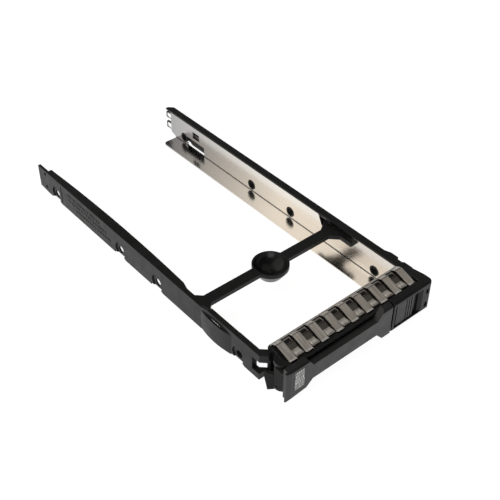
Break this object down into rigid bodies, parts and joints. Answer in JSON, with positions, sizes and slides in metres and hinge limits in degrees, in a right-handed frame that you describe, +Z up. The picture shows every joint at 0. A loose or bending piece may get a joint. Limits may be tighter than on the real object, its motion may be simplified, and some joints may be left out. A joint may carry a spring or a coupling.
{
  "type": "hot swap drive carrier",
  "caption": "Empty hot swap carrier for a 2.5-inch drive, with a swing lever, release button, steel side plate and finger gasket.",
  "frame": {"origin": "centre of the bottom of the carrier's box", "axes": "+Z up, +Y to the rear, +X to the right as seen from the front"},
  "size_m": [0.0768, 0.1684, 0.0159],
  "materials": {
    "frame_plastic": "black moulded plastic with a fine grain",
    "lever_plastic": "dark moulded plastic, slightly glossier than the frame",
    "button_plastic": "black moulded plastic with upright ridges",
    "label_face": null,
    "stainless_sheet": "bright rolled stainless sheet",
    "spring_sheet": "drawn spring steel strip with lengthwise streaks",
    "clip_metal": "bright nickel plated strip",
    "clear_plastic": "clear moulded light pipe",
    "pin_steel": "turned steel",
    "spring_wire": "drawn spring wire"
  },
  "bodies": {
    "carrier": {"carrier_frame": "frame_plastic", "side_plate": "stainless_sheet", "emi_gasket": "spring_sheet", "ground_clip": "clip_metal", "upper_light_pipe": "clear_plastic", "lower_light_pipe": "clear_plastic", "lever_pin": "pin_steel", "lever_spring": "spring_wire", "button_spring": "spring_wire"},
    "lever": {"lever": "lever_plastic", "lever_label": "label_face"},
    "button": {"release_button": "button_plastic"}
  },
  "joints": [
    {"name": "lever_pivot", "type": "hinge", "parent": "carrier", "child": "lever", "pos_m": [-0.03236, -0.0768, 0.0065], "axis": [0, 0, -1], "range_deg": [0, 40], "deforming": ["lever_spring"]},
    {"name": "release_slide", "type": "slide", "parent": "carrier", "child": "button", "axis": [1, 0, 0], "range_m": [0, 0.003], "stiffness_N_per_m": 300, "springref_m": -0.004, "deforming": ["button_spring"]}
  ]
}
